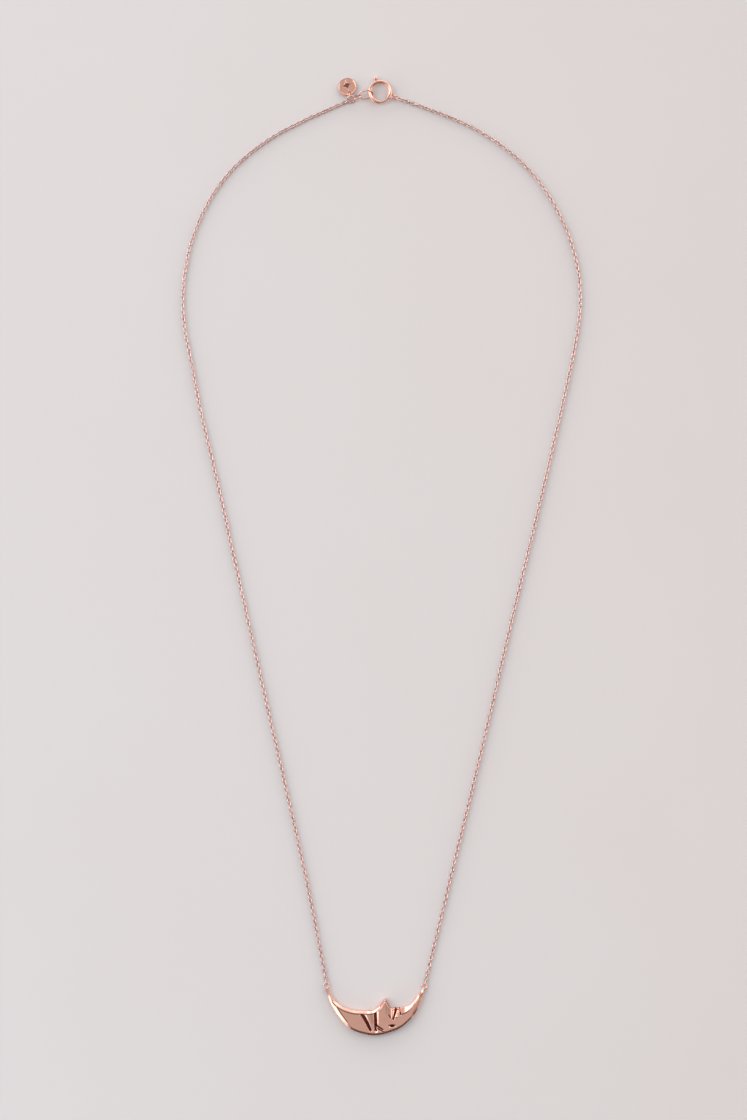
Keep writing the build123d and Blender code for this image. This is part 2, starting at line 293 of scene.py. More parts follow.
def smooth_path(points, share):
    """A point on a smooth line through the given points, by its share of the way."""
    spans = len(points) - 1
    place = min(max(share, 0.0), 1.0) * spans
    index = min(int(place), spans - 1)
    t = place - index
    before = points[max(index - 1, 0)]
    start, end = points[index], points[index + 1]
    after = points[min(index + 2, spans)]
    result = []
    for a, b, c, d in zip(before, start, end, after):
        slope_b, slope_c = (c - a) / 2, (d - b) / 2
        result.append((2 * t ** 3 - 3 * t ** 2 + 1) * b + (t ** 3 - 2 * t ** 2 + t) * slope_b
                      + (3 * t ** 2 - 2 * t ** 3) * c + (t ** 3 - t ** 2) * slope_c)
    return result


def ease(value, low, high):
    """A soft step from 0 at low to 1 at high."""
    t = min(max((value - low) / (high - low), 0.0), 1.0)
    return t * t * (3 - 2 * t)


# ------------------------------------------------------------------ settings
class NecklaceSettings(bpy.types.PropertyGroup):
    """Sizes of the chain, and the finish's colours."""

    link_pitch: FloatProperty(
        name="Link pitch", description="Distance from one chain link to the next",
        default=0.76 * MM, unit="LENGTH")
    link_length: FloatProperty(
        name="Link length", description="Length of a chain link over its wire",
        default=1.26 * MM, unit="LENGTH")
    link_width: FloatProperty(
        name="Link width", description="Width of a chain link over its wire",
        default=0.90 * MM, unit="LENGTH")
    link_wire: FloatProperty(
        name="Link wire", description="Diameter of the chain's wire", default=0.25 * MM, unit="LENGTH")
    chain_height: FloatProperty(
        name="Chain height", description="Height of the chain's middle line over the surface",
        default=0.38 * MM, unit="LENGTH")
    chain_diameter: FloatProperty(
        name="Chain diameter", description="Diameter of the round space that the chain fills",
        default=0.80 * MM, unit="LENGTH")
    clearance: FloatProperty(
        name="Clearance", description="Least height of a link over the surface", default=0.005 * MM,
        unit="LENGTH")
    seed: IntProperty(name="Seed", description="Seed of the links' small unevenness", default=7)
    gold_warm: FloatVectorProperty(
        name="Warm gold", description="Rose gold where it is warmest", subtype="COLOR",
        default=(0.900, 0.470, 0.360))
    gold_cool: FloatVectorProperty(
        name="Cool gold", description="Rose gold where it is palest", subtype="COLOR",
        default=(0.900, 0.520, 0.420))
    chain_warm: FloatVectorProperty(
        name="Warm chain", description="The chain's rose gold where it is warmest", subtype="COLOR",
        default=(0.750, 0.500, 0.455))
    chain_cool: FloatVectorProperty(
        name="Cool chain", description="The chain's rose gold where it is palest", subtype="COLOR",
        default=(0.760, 0.565, 0.530))
    # Painted shade: the dark colour mixed into the carved hollows in place of their shade and dark
    # reflections.
    painted_shade_gold: FloatVectorProperty(
        name="Painted shade gold", description="Rose gold darkened with painted shade in the carved hollows", subtype="COLOR",
        default=(0.100, 0.025, 0.022))
    # The floor's two tones also carry a painted falloff of the light: the cool one lit, the warm one
    # shaded.
    floor_lit_cool: FloatVectorProperty(
        name="Lit cool floor", description="The floor's cooler tone, paler with painted light", subtype="COLOR",
        default=(0.729, 0.702, 0.713))
    floor_shaded_warm: FloatVectorProperty(
        name="Shaded warm floor", description="The floor's warmer tone, darkened with painted shade", subtype="COLOR",
        default=(0.684, 0.624, 0.612))


def settings_now():
    """The scene's necklace settings."""
    return bpy.context.scene.necklace


def material_named(name):
    """One of the necklace's materials, made the first time it is asked for."""
    found = bpy.data.materials.get(name + "_finish")
    if found:
        return found
    settings = settings_now()
    makers = {
        "pendant_gold": (settings.gold_warm, settings.gold_cool, 0.09, 0.0010 * MM, True),
        "chain_gold": (settings.chain_warm, settings.chain_cool, 0.14, 0.0005 * MM),
        "rose_gold_wire": (settings.gold_cool, settings.chain_warm, 0.10, 0.0006 * MM),
        "clasp_gold": (settings.gold_warm, settings.gold_cool, 0.09, 0.0008 * MM),
        "tag_gold": (settings.gold_warm, settings.gold_cool, 0.12, 0.0014 * MM, True),
    }
    if name == "spring_steel":
        return spring_steel()
    return rose_gold(name, settings, *makers[name])


# ------------------------------------------------------------------ the chain
def spline_points(name, route, height):
    """The smooth line of a strand: a NURBS spline controlled by the route's own points."""
    curve = bpy.data.curves.new(name, "CURVE")
    curve.dimensions = "3D"
    curve.resolution_u = 40
    spline = curve.splines.new("NURBS")
    spline.points.add(len(route) - 1)
    for point, (x, y) in zip(spline.points, route):
        point.co = (x * MM, y * MM, height, 1.0)
    spline.order_u = 3
    spline.use_endpoint_u = True
    holder = bpy.data.objects.new(name, curve)
    mesh = bpy.data.meshes.new_from_object(holder)
    points = [vert.co.copy() for vert in mesh.vertices]
    bpy.data.objects.remove(holder)
    bpy.data.curves.remove(curve)
    bpy.data.meshes.remove(mesh)
    return points


def lengths_along(points):
    """The distance along a line at each of its points."""
    total = [0.0]
    for a, b in zip(points, points[1:]):
        total.append(total[-1] + (b - a).length)
    return total


def place_at(points, distances, distance):
    """The position and direction at a distance along a line, carried straight on past its ends."""
    index = 0
    while index < len(points) - 2 and distances[index + 1] < distance:
        index += 1
    direction = (points[index + 1] - points[index]).normalized()
    return points[index] + direction * (distance - distances[index]), direction


def link_template(settings, around=12, sides=5):
    """One chain link about the origin, of few faces because it is repeated."""
    bm = bmesh.new()
    half_length = (settings.link_length - settings.link_wire) / 2
    half_width = (settings.link_width - settings.link_wire) / 2
    add_ring(bm, half_length, half_width, settings.link_wire, around, sides)
    bmesh.ops.remove_doubles(bm, verts=bm.verts, dist=1e-7)
    bmesh.ops.recalc_face_normals(bm, faces=bm.faces)
    mesh = bpy.data.meshes.new("link")
    bm.to_mesh(mesh)
    bm.free()
    return mesh


STRAND_MARGIN = 0.11 * MM
SETTLING_LINKS = 6.0
LINK_LEAN = radians(-45)
ROLL_PLAY = radians(7)
SIDE_PLAY = 0.022 * MM
TURN_PLAY = radians(2.2)


def strand(name, node, route, first_roll, last_roll):
    """A strand of interlinked links, each a quarter turn from the last, easing to its end links."""
    settings = settings_now()
    points = spline_points(name, route, settings.chain_height)
    distances = lengths_along(points)
    span = distances[-1] - 2 * STRAND_MARGIN
    count = round(span / settings.link_pitch)
    pitch = span / count
    chance = random.Random(settings.seed + len(route))
    template = link_template(settings)
    bm = bmesh.new()
    end_turn = radians(last_roll) - (radians(90) if count % 2 else 0.0)
    while end_turn - LINK_LEAN > pi / 2:
        end_turn -= pi
    while end_turn - LINK_LEAN < -pi / 2:
        end_turn += pi
    for index in range(count + 1):
        middle, direction = place_at(points, distances, STRAND_MARGIN + index * pitch)
        near_start = max(0.0, 1 - index / SETTLING_LINKS)
        near_end = max(0.0, 1 - (count - index) / SETTLING_LINKS)
        loose = 1 - max(near_start, near_end)
        roll = LINK_LEAN + near_start * (radians(first_roll) - LINK_LEAN)
        roll = roll + near_end * (end_turn - LINK_LEAN)
        roll += radians(90) * (index % 2) + loose * chance.gauss(0, ROLL_PLAY)
        sideways = direction.cross(Vector((0, 0, 1)))
        middle = middle + sideways * loose * chance.gauss(0, SIDE_PLAY)
        line = Matrix.Rotation(loose * chance.gauss(0, TURN_PLAY), 3, "Z") @ direction
        link = template.copy()
        link.transform(placed_along(middle, line, roll))
        lowest = min(vert.co.z for vert in link.vertices)
        link.transform(Matrix.Translation((0, 0, max(0.0, settings.clearance - lowest))))
        bm.from_mesh(link)
        bpy.data.meshes.remove(link)
    bpy.data.meshes.remove(template)
    piece = finished(name, bm, material_named("chain_gold"))
    dress(piece, "root", "chain_gold", node)
    return piece


class NECKLACE_OT_chain(bpy.types.Operator):
    """Link both strands of cable chain along their routes"""

    bl_idname = "necklace.chain"
    bl_label = "Cable chain"

    def execute(self, context):
        strand("left_strand", "chain_left", LEFT_ROUTE, -35, 0)
        strand("right_strand", "chain_right", RIGHT_ROUTE, -118, 0)
        return {"FINISHED"}


# ------------------------------------------------------------------ the stage
class NECKLACE_OT_stage(bpy.types.Operator):
    """Lay the pale floor, hang the soft lights and set the camera straight above"""

    bl_idname = "necklace.stage"
    bl_label = "Stage"

    def execute(self, context):
        floor()
        lights()
        camera()
        return {"FINISHED"}


def floor():
    """A wide pale floor just under the necklace."""
    bm = bmesh.new()
    bmesh.ops.create_grid(bm, x_segments=2, y_segments=2, size=3.0)
    bmesh.ops.translate(bm, verts=bm.verts, vec=(0, 0, CAD_BOUNDS[0][2]))
    piece = finished("floor", bm, pale_floor(settings_now()), smooth=False)


def area_light(name, place, aim, size, watts, colour=(1.0, 1.0, 1.0)):
    """A soft rectangular light aimed at a point."""
    data = bpy.data.lights.new(name, "AREA")
    data.shape = "RECTANGLE"
    data.size, data.size_y = size
    data.energy = watts
    data.color = colour
    lamp = bpy.data.objects.new(name, data)
    lamp.location = place
    lamp.rotation_euler = (Vector(aim) - Vector(place)).to_track_quat("-Z", "Y").to_euler()
    bpy.context.scene.collection.objects.link(lamp)


# Sky levels as shares of its full strength: from the horizon up, and from the near side to the far one
SKY_STRENGTH = 4.0
SKY_BY_HEIGHT = [(0.0, 0.95), (0.36, 0.90), (0.46, 0.30), (0.60, 0.16), (0.80, 0.22), (1.0, 0.25)]
SKY_BY_FACING = [(0.0, 0.03), (0.14, 0.05), (0.20, 0.40), (0.30, 0.66), (0.5, 0.58), (0.75, 0.68),
                 (1.0, 0.75)]


def level_ramp(tree, factor, stops):
    """A smooth grey ramp through the given levels."""
    return ramp(tree, factor, [(position, (level, level, level, 1.0)) for position, level in stops])


def lights():
    """Daylight low on all sides, dimmer overhead and from the near side, with two soft windows."""
    world = bpy.data.worlds.new("room")
    bpy.context.scene.world = world
    world.use_nodes = True
    tree = world.node_tree
    place = tree.nodes.new("ShaderNodeTexCoord")
    split = tree.nodes.new("ShaderNodeSeparateXYZ")
    tree.links.new(place.outputs["Generated"], split.inputs[0])
    height = Wire(tree, split.outputs["Z"])
    facing = Wire(tree, split.outputs["Y"]) - 0.25 * Wire(tree, split.outputs["X"])
    by_height = level_ramp(tree, height, SKY_BY_HEIGHT)
    by_facing = level_ramp(tree, facing * 0.5 + 0.5, SKY_BY_FACING)
    background = tree.nodes["Background"]
    background.inputs["Color"].default_value = (1.0, 1.0, 1.0, 1.0)
    feed(tree, background.inputs["Strength"], by_height * by_facing * SKY_STRENGTH)
    area_light("left_window", (-1.0, 0.35, 1.0), (0.0, 0.1, 0.0), (0.80, 0.80), 6.4, (1.0, 0.98, 0.96))
    area_light("right_window", (0.8, 0.75, 1.1), (0.0, 0.1, 0.0), (0.60, 0.80), 3.7, (0.97, 0.98, 1.0))
    bpy.context.scene.view_settings.view_transform = "Standard"


def camera():
    """A camera straight above the middle of the loop."""
    data = bpy.data.cameras.new("overhead")
    data.sensor_fit = "VERTICAL"
    data.sensor_height = 36.0
    shown_height = 240.8 * MM
    distance = 520.0 * MM
    data.lens = data.sensor_height * distance / shown_height
    data.clip_start = 0.01
    eye = bpy.data.objects.new("overhead", data)
    eye.location = (-0.32 * MM, 99.33 * MM, distance)
    bpy.context.scene.collection.objects.link(eye)
    bpy.context.scene.camera = eye


# ------------------------------------------------------------------ the moon
# The crescent's two edges from the left horn to the right one, paired station by station, in millimetres
MOON_INNER = [(-10.18, 7.40), (-9.60, 6.05), (-8.62, 4.69), (-7.53, 3.81), (-6.24, 3.14), (-4.73, 2.71),
              (-3.23, 2.58), (-1.72, 2.54), (-0.22, 2.73), (0.98, 3.75), (1.66, 4.62), (2.10, 5.17),
              (2.42, 4.80), (2.86, 4.05), (3.42, 3.18), (4.50, 3.24), (5.80, 3.27), (7.31, 3.66),
              (8.49, 4.82), (9.37, 6.08), (9.96, 6.80), (10.28, 7.26)]
MOON_OUTER = [(-10.54, 7.38), (-10.08, 6.00), (-9.60, 4.45), (-8.80, 2.93), (-7.58, 1.15), (-5.84, -0.80),
              (-3.98, -1.78), (-2.26, -2.28), (-0.65, -2.56), (0.76, -2.50), (1.46, -2.36), (2.04, -2.22),
              (2.44, -2.12), (2.92, -1.98), (3.62, -1.74), (4.73, -1.33), (6.06, -0.56), (7.44, 0.70),
              (8.62, 2.03), (9.55, 3.95), (10.16, 5.58), (10.60, 7.22)]
# Chiselled grooves, from top to bottom: start, end, width of the steep side on the left, darkened with
# painted shade, and of the open bright side on the right, the share of those widths left at the end, and
# depth
MOON_GROOVES = [
    ((-2.66, 2.08), (-0.92, -1.52), 0.70, 0.68, 0.50, 0.46),
    ((0.08, 2.26), (0.10, -1.52), 0.38, 0.74, 0.75, 0.52),
    ((0.24, -0.52), (1.75, -1.42), 0.22, 0.34, 0.60, 0.32),
    ((0.52, -1.20), (2.06, -1.96), 0.17, 0.28, 0.50, 0.28),
    ((4.60, 3.60), (3.92, 0.82), 0.30, 0.34, 0.55, 0.42),
    ((5.34, 3.60), (5.44, 1.80), 0.22, 0.30, 0.60, 0.34),
    ((3.02, 1.62), (3.32, 1.12), 0.16, 0.24, 0.80, 0.26),
]
# Raised forms: start, end, half width and height
MOON_RIDGES = [
    ((-1.30, 2.10), (-0.70, -0.60), 0.50, 0.06),
    ((3.70, 3.10), (3.72, 1.30), 0.40, 0.20),
    ((4.98, 3.10), (4.62, 1.40), 0.32, 0.16),
]
# Round forms: centre, half sizes and height
MOON_BUMPS = [
    ((2.70, 0.10), (1.80, 1.50), 0.10),
    ((-6.00, 0.90), (2.20, 1.60), 0.05),
    ((3.70, -0.55), (0.98, 0.38), -0.42),
]
# Patches of painted shade without any cut: start, end, half width and strength
MOON_SHADES = [
    ((-1.00, 2.30), (-0.45, 0.20), 0.60, 0.30),
    ((2.45, 4.90), (3.30, 3.40), 0.34, 0.75),
    ((3.05, 3.20), (3.00, 1.90), 0.40, 0.25),
]
NOSE_TIP = (2.12, 5.30)
NOSE_FOOT = (2.46, 1.10)
NOSE_LEFT = 1.85
NOSE_RIGHT = 0.72
NOSE_RISE = 0.30
MOON_EDGE_THICKNESS = 0.88
MOON_THICKNESS = 1.62
MOON_REACH = 10.7


def groove(x, y, start, end, steep, opening, taper):
    """How deep a chiselled groove is at a point, as a share of its depth, and how much painted shade it
    gets there.
    """
    distance, share = near_line(x, y, start, end)
    along_x, along_y = end[0] - start[0], end[1] - start[1]
    side = (y - start[1]) * along_x - (x - start[0]) * along_y
    scale = 1 - share * (1 - taper)
    if side < 0:
        cut = max(0.0, 1 - distance / (steep * scale))
        return cut, min(1.0, 3.2 * cut)
    cut = max(0.0, 1 - distance / (opening * scale))
    return cut, max(0.0, 1 - distance / (0.30 * opening * scale))


def near_line(x, y, start, end):
    """A point's distance from a line between two points, and its share of the way along."""
    along_x, along_y = end[0] - start[0], end[1] - start[1]
    share = ((x - start[0]) * along_x + (y - start[1]) * along_y) / (along_x ** 2 + along_y ** 2)
    share = min(max(share, 0.0), 1.0)
    return hypot(x - start[0] - share * along_x, y - start[1] - share * along_y), share


def chamfers(x, width):
    """How far the two sloped edges of the front reach in, at the hollow side and the round side."""
    hollow = 0.56 - 0.28 * ease(x, 1.5, 2.4) - 0.10 * ease(x, 2.8, 3.4)
    hollow += 1.05 * ease(x, 5.1, 5.6) - 0.60 * ease(x, 5.8, 8.2)
    rounded = 0.20 + 0.52 * (1 - ease(x, -6.0, -5.2)) + 0.46 * ease(x, 7.7, 8.3)
    return min(hollow, 0.50 * width), min(rounded, 0.46 * width)


def nose_rise(x, y):
    """The height of the nose: a ridge with a long slope to the brow and a steep one to the lips."""
    distance, share = near_line(x, y, NOSE_TIP, NOSE_FOOT)
    ridge_x = NOSE_TIP[0] + share * (NOSE_FOOT[0] - NOSE_TIP[0])
    reach = NOSE_LEFT * (0.35 + 0.65 * share) if x < ridge_x else NOSE_RIGHT
    slope = max(0.0, 1 - distance / reach)
    return NOSE_RISE * slope * (1 - ease(share, 0.35, 1.0))


def moon_front(x, y, from_hollow, from_round, width):
    """The height of the front and how much painted shade it gets, at a point of the crescent."""
    dome = max(0.0, 1 - (x / MOON_REACH) ** 2) ** 0.7
    height = MOON_EDGE_THICKNESS + (MOON_THICKNESS - MOON_EDGE_THICKNESS) * dome
    hollow_reach, round_reach = chamfers(x, width)
    hollow_slope = max(0.0, 1 - from_hollow / hollow_reach)
    round_slope = max(0.0, 1 - from_round / round_reach)
    hollow_steep = 0.76 - 0.26 * ease(x, 6.5, 9.0)
    round_steep = 0.62 - 0.24 * ease(x, 7.0, 9.0)
    height -= min(hollow_steep * hollow_reach, 0.85) * hollow_slope
    height -= min(round_steep * round_reach, 0.60) * round_slope
    # Painted shade in a thin band just past the round chamfer, where that chamfer is narrow.
    painted_shade = 0.85 * ease(round_reach - from_round, 0.0, 0.03) * ease(0.26 - round_reach, 0.0, 0.05)
    kept = max(ease(from_hollow - hollow_reach, 0.02, 0.14), ease(x, 1.4, 1.8))
    for start, end, steep, opening, taper, depth in MOON_GROOVES:
        cut, painted_shade_level = groove(x, y, start, end, steep, opening, taper)
        height -= depth * cut * kept
        painted_shade = max(painted_shade, painted_shade_level * kept)
    for start, end, half, rise in MOON_RIDGES:
        distance = near_line(x, y, start, end)[0]
        height += rise * ease(half - distance, 0.0, half)
    for centre, half_sizes, rise in MOON_BUMPS:
        distance = hypot((x - centre[0]) / half_sizes[0], (y - centre[1]) / half_sizes[1])
        swell = 1 - ease(distance, 0.0, 1.0)
        height += rise * swell
        # A sunken form also gets painted shade, such as the dark mouth corner.
        if rise < 0:
            painted_shade = max(painted_shade, min(1.0, 2.0 * swell))
    for start, end, half, strength in MOON_SHADES:
        distance = near_line(x, y, start, end)[0]
        painted_shade = max(painted_shade, strength * ease(half - distance, 0.0, half))
    # A shallow dip just inside each chamfer, painted dark: a thin line of painted dark reflection along the
    # bevel.
    for distance, reach in ((from_hollow, hollow_reach), (from_round, round_reach)):
        border = exp(-((distance - reach - 0.09) / 0.10) ** 2) * ease(width, 0.7, 1.3)
        height -= 0.05 * border
        painted_shade = max(painted_shade, 0.95 * border)
    height += nose_rise(x, y)
    height += 0.012 * noise.noise(Vector((x * 0.9, y * 0.9, 2.0)))
    return height, painted_shade


def moon_point(u, v):
    """A point of the crescent's skin: along the crescent by u, and round its section by v."""
    x_in, y_in = smooth_path(MOON_INNER, u)
    x_out, y_out = smooth_path(MOON_OUTER, u)
    width = hypot(x_in - x_out, y_in - y_out)
    away = ((x_in - x_out) / width, (y_in - y_out) / width)
    top, inner_wall, back = 0.74, 0.84, 0.90
    bulge = 0.025
    if v <= top:
        across = v / top
        x = x_out + (x_in - x_out) * across
        y = y_out + (y_in - y_out) * across
        height, painted_shade = moon_front(x, y, (1 - across) * width, across * width, width)
    elif v <= inner_wall:
        down = (v - top) / (inner_wall - top)
        edge, painted_shade = moon_front(x_in, y_in, 0.0, width, width)
        swell = bulge * sin(pi * down) - 0.06 * ease(down, 0.8, 1.0)
        x, y = x_in + away[0] * swell, y_in + away[1] * swell
        height = edge * (1 - down)
    elif v <= back:
        across = 1 - (v - inner_wall) / (back - inner_wall)
        inset = 0.06 * (2 * across - 1)
        x = x_out + (x_in - x_out) * across - away[0] * inset
        y = y_out + (y_in - y_out) * across - away[1] * inset
        height, painted_shade = 0.0, 0.0
    else:
        up = (v - back) / (1 - back)
        edge, painted_shade = moon_front(x_out, y_out, width, 0.0, width)
        swell = bulge * sin(pi * up) - 0.06 * ease(1 - up, 0.8, 1.0)
        x, y = x_out - away[0] * swell, y_out - away[1] * swell
        height = edge * up
    return Vector((x, y, height)) * MM, painted_shade


class NECKLACE_OT_moon(bpy.types.Operator):
    """Carve the crescent with its sleeping face"""

    bl_idname = "necklace.moon"
    bl_label = "Moon pendant"

    def execute(self, context):
        bm = bmesh.new()
        bmesh.ops.create_grid(bm, x_segments=500, y_segments=170, size=0.5)
        layer = bm.verts.layers.float.new("painted_shade")
        for vert in bm.verts:
            vert.co, vert[layer] = moon_point(vert.co.x + 0.5, vert.co.y + 0.5)
        bmesh.ops.remove_doubles(bm, verts=bm.verts, dist=1e-8)
        bmesh.ops.holes_fill(bm, edges=[edge for edge in bm.edges if edge.is_boundary], sides=0)
        piece = finished("moon", bm, material_named("pendant_gold"))
        dress(piece, "pendant", "pendant_gold", "moon_pendant")
        return {"FINISHED"}


# ------------------------------------------------------------------ rings
RING_WIRE = {"end_ring": 0.26, "middle_ring": 0.26, "chain_ring": 0.30, "tail_ring": 0.24, "horn": 0.28,
             "tag_ring": 0.18}
LINK_REACH = 1.01
LINK_WIDTH = 0.92
LINK_WIRE = 0.25


class NECKLACE_OT_rings(bpy.types.Operator):
    """Bend the connecting rings, the horn rings and the real links at the strands' ends"""

    bl_idname = "necklace.rings"
    bl_label = "Rings"

    def execute(self, context):
        connecting_rings()
        horn_rings()
        end_links()
        return {"FINISHED"}


def connecting_rings():
    """The oval rings between the strands and the clasp, each along its own roll axis."""
    gold = material_named("rose_gold_wire")
    rings = [("end_ring", 2.850, 2.18, 46), ("middle_ring", 1.783, 1.82, -56),
             ("chain_ring", 1.640, 1.80, 36), ("tail_ring", 1.240, 1.36, 62)]
    for node, length, width, roll in rings:
        start, line = joint_line(node + "_roll")
        wire = RING_WIRE[node]
        piece = wire_ring(node + "_wire", start, line, length * MM, width * MM, wire * MM, roll, gold)
        dress(piece, node, "rose_gold_wire", node)


def horn_rings():
    """The closed rings at the horn tips, each with its drop of solder."""
    gold = material_named("rose_gold_wire")
    wire = RING_WIRE["horn"] * MM
    for side, tip in (("left", (-10.36, 7.36)), ("right", (10.44, 7.22))):
        node = side + "_horn_ring"
        low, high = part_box(node)
        centre = (Vector(low) + Vector(high)) / 2
        bm = bmesh.new()
        radius = (high[0] - low[0] - wire) / 2
        ring = add_ring(bm, radius, radius, wire, 56, 20)
        bmesh.ops.translate(bm, verts=ring, vec=centre)
        solder = bmesh.ops.create_uvsphere(bm, u_segments=20, v_segments=12, radius=0.5)["verts"]
        stretch = Matrix.Diagonal((0.52 * MM, 0.50 * MM, 0.44 * MM, 1.0))
        place = Matrix.Translation((tip[0] * MM, tip[1] * MM, centre.z))
        bmesh.ops.transform(bm, matrix=place @ stretch, verts=solder)
        piece = finished(node + "_wire", bm, gold)
        dress(piece, "pendant", "rose_gold_wire", node)


def end_links():
    """The four links that join the strands to their rings."""
    gold = material_named("chain_gold")
    ends = [("left_upper_link", "root", 55, LEFT_ROUTE[0]),
            ("left_lower_link", "root", 90, LEFT_ROUTE[-1]),
            ("right_lower_link", "root", 90, RIGHT_ROUTE[-1]),
            ("right_upper_link", "right_link", -28, RIGHT_ROUTE[0])]
    for node, body, roll, strand_end in ends:
        low, high = (Vector(corner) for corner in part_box(node))
        middle = (low + high) / 2
        stop = Vector((*(value * MM for value in strand_end), 0.0))
        stop.z = 0.40 * MM if "upper" in node else middle.z
        line = (stop - middle).normalized()
        start = middle - line * LINK_REACH / 2 * MM
        piece = wire_ring(node + "_wire", start, line, LINK_REACH * MM, LINK_WIDTH * MM,
                          LINK_WIRE * MM, roll, gold, 40, 14)
        dress(piece, body, "chain_gold", node)


# ------------------------------------------------------------------ the clasp
CLASP_RADIUS = 2.19
CLASP_TUBE = 0.78
CLASP_WALL = 0.14
TUBE_START = -12
TUBE_END = 270
BOLT_DIAMETER = 0.42
BOLT_REAR = 101
BOLT_TIP = 316
KNOB_ANGLE = 108
KNOB_TRAVEL = 48
KNOB_DIAMETER = 0.90
TAIL_START = 320
TAIL_END = 357
TAIL_DIAMETER = 0.96
EYE_ANGLE = -19
EYE_REACH = 2.97
EYE_DIAMETER = 1.06
EYE_WIRE = 0.26


def on_clasp(angle, radius):
    """A point in the clasp's plane about its centre, by angle in degrees and radius in millimetres."""
    return Vector((cos(radians(angle)), sin(radians(angle)), 0.0)) * radius * MM


def bent_bar(bm, diameter, start, end, steps, sides=28):
    """A round bar's skin bent along the clasp ring; returns the open loops at its start and end."""
    made = bmesh.ops.create_circle(bm, cap_ends=False, radius=diameter / 2 * MM, segments=sides)["verts"]
    stand = Matrix.Rotation(radians(start), 4, "Z") @ Matrix.Translation((CLASP_RADIUS * MM, 0, 0))
    bmesh.ops.transform(bm, matrix=stand @ Matrix.Rotation(pi / 2, 4, "X"), verts=made)
    edges = list({edge for vert in made for edge in vert.link_edges})
    spun = bmesh.ops.spin(bm, geom=made + edges, cent=(0, 0, 0), axis=(0, 0, 1),
                          angle=radians(end - start), steps=steps)
    last = [item for item in spun["geom_last"] if isinstance(item, bmesh.types.BMEdge)]
    return edges, last


def grown_loop(bm, edges, matrix):
    """Extrude a loop of edges and move the new loop; returns its edges."""
    grown = bmesh.ops.extrude_edge_only(bm, edges=edges)["geom"]
    verts = [item for item in grown if isinstance(item, bmesh.types.BMVert)]
    bmesh.ops.transform(bm, matrix=matrix, verts=verts)
    return [item for item in grown if isinstance(item, bmesh.types.BMEdge) and item.is_boundary]


def about(centre, scale, shift=Vector((0, 0, 0))):
    """A matrix that scales about a point and then shifts."""
    return Matrix.Translation(centre + shift) @ Matrix.Scale(scale, 4) @ Matrix.Translation(-centre)


def domed_end(bm, edges, centre, outward, radius, steps=5):
    """Close an open loop with a round dome."""
    previous_rise, previous_scale = 0.0, 1.0
    for step in range(1, steps):
        turn = pi / 2 * step / steps
        rise, scale = sin(turn), cos(turn)
        shift = outward * radius * (rise - previous_rise)
        edges = grown_loop(bm, edges, about(centre, scale / previous_scale, shift))
        centre = centre + shift
        previous_rise, previous_scale = rise, scale
    bmesh.ops.holes_fill(bm, edges=edges, sides=0)


def bar_direction(angle):
    """The direction along the clasp ring at an angle, turning anticlockwise."""
    return Vector((-sin(radians(angle)), cos(radians(angle)), 0.0))


def clasp_shell(centre):
    """The hollow ring with its gap and the knob's slot, given its wall by a modifier."""
    bm = bmesh.new()
    bent_bar(bm, CLASP_TUBE, TUBE_START, TUBE_END, 141, 32)
    margin = 4.2
    slot = []
    for face in bm.faces:
        place = face.calc_center_median()
        angle = (atan2(place.y, place.x) * 180 / pi) % 360
        outward = hypot(place.x, place.y) / MM - CLASP_RADIUS
        in_arc = KNOB_ANGLE - KNOB_TRAVEL - margin < angle < KNOB_ANGLE + margin
        if in_arc and outward > 0.30 and abs(place.z) < 0.16 * MM:
            slot.append(face)
    bmesh.ops.delete(bm, geom=slot, context="FACES")
    bmesh.ops.translate(bm, verts=bm.verts, vec=centre)
    piece = finished("clasp_shell", bm, material_named("clasp_gold"))
    wall = piece.modifiers.new("wall", "SOLIDIFY")
    wall.thickness = CLASP_WALL * MM
    wall.offset = -1.0
    dress(piece, "clasp", "clasp_gold", "clasp_tube")


def clasp_tail(centre):
    """The collar over the ring's closed end, with the bolt's socket and the eye for the chain."""
    bm = bmesh.new()
    first, last = bent_bar(bm, TAIL_DIAMETER, TAIL_START, TAIL_END, 26, 32)
    mouth = on_clasp(TAIL_START, CLASP_RADIUS)
    rim = grown_loop(bm, first, about(mouth, 0.90, bar_direction(TAIL_START) * -0.05 * MM))
    rim = grown_loop(bm, rim, about(mouth, 0.56))
    rim = grown_loop(bm, rim, about(mouth, 1.0, bar_direction(TAIL_START) * 0.22 * MM))
    bmesh.ops.holes_fill(bm, edges=rim, sides=0)
    heel = on_clasp(TAIL_END, CLASP_RADIUS)
    rim = grown_loop(bm, last, about(heel, 0.92, bar_direction(TAIL_END) * 0.05 * MM))
    rim = grown_loop(bm, rim, about(heel, 0.80))
    bmesh.ops.holes_fill(bm, edges=rim, sides=0)
    for vert in bm.verts:
        vert.tag = True
    radius = (EYE_DIAMETER - EYE_WIRE) / 2 * MM
    eye = add_ring(bm, radius, radius, EYE_WIRE * MM, 48, 18)
    bmesh.ops.translate(bm, verts=eye, vec=on_clasp(EYE_ANGLE, EYE_REACH))
    bmesh.ops.translate(bm, verts=bm.verts, vec=centre)
    piece = finished("clasp_collar", bm, material_named("clasp_gold"))
    dress(piece, "clasp", "clasp_gold", "clasp_tail")


def clasp_bolt(centre):
    """The curved bolt across the gap, with a round tip."""
    bm = bmesh.new()
    first, last = bent_bar(bm, BOLT_DIAMETER, BOLT_REAR, BOLT_TIP, 108, 20)
    bmesh.ops.holes_fill(bm, edges=first, sides=0)
    tip = on_clasp(BOLT_TIP, CLASP_RADIUS)
    domed_end(bm, last, tip, bar_direction(BOLT_TIP), BOLT_DIAMETER / 2 * MM)
    bmesh.ops.translate(bm, verts=bm.verts, vec=centre)
    piece = finished("bolt_bar", bm, material_named("clasp_gold"))
    dress(piece, "bolt", "clasp_gold", "clasp_bolt")


